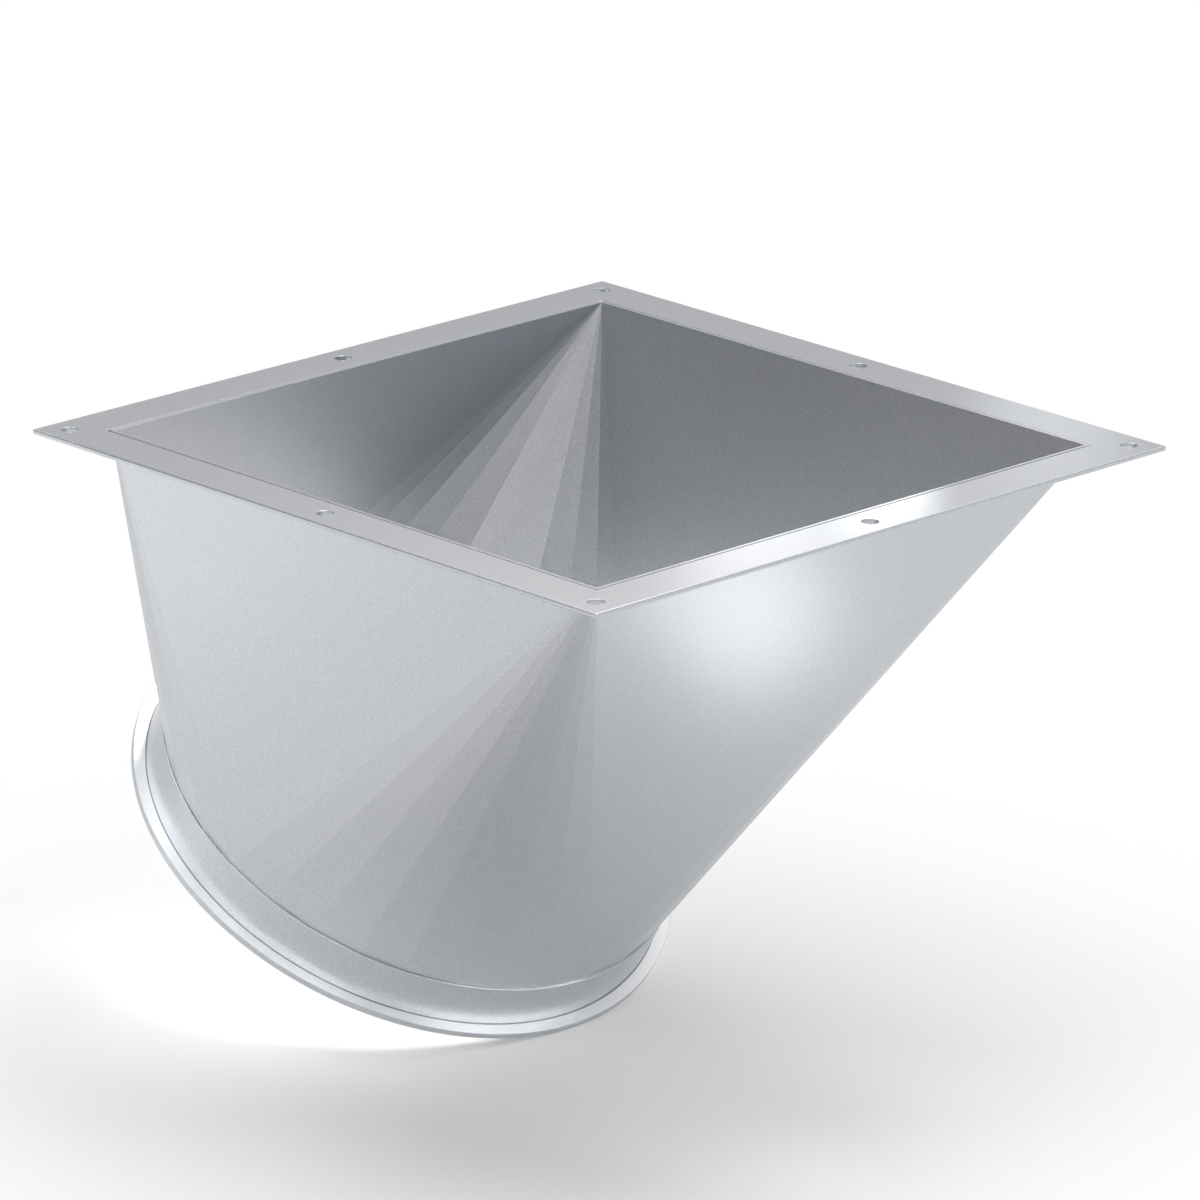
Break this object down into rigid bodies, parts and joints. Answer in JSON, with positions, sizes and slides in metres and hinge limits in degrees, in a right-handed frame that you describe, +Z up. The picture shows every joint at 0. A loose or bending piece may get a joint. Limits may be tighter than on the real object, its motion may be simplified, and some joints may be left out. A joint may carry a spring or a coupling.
{
  "type": "duct transition piece",
  "caption": "Welded sheet-steel duct transition from a square bolted flange to a round lipped outlet tilted to one side, with flat walls and folded corner fans.",
  "frame": {"origin": "centre of the square flange's top face, where the inlet's bolt patterns are centred", "axes": "+Z up out of the square inlet, +X away from the outlet's lean, +Y along a flange edge; y = 0 is the plane of symmetry and the outlet leans towards -X"},
  "size_m": [0.5395, 0.46, 0.3652],
  "materials": {
    "satin_sheet_steel": "satin with a fine even grain"
  },
  "bodies": {
    "root": {"inlet_flange": "satin_sheet_steel", "transition_body": "satin_sheet_steel", "outlet_collar": "satin_sheet_steel"}
  },
  "joints": []
}
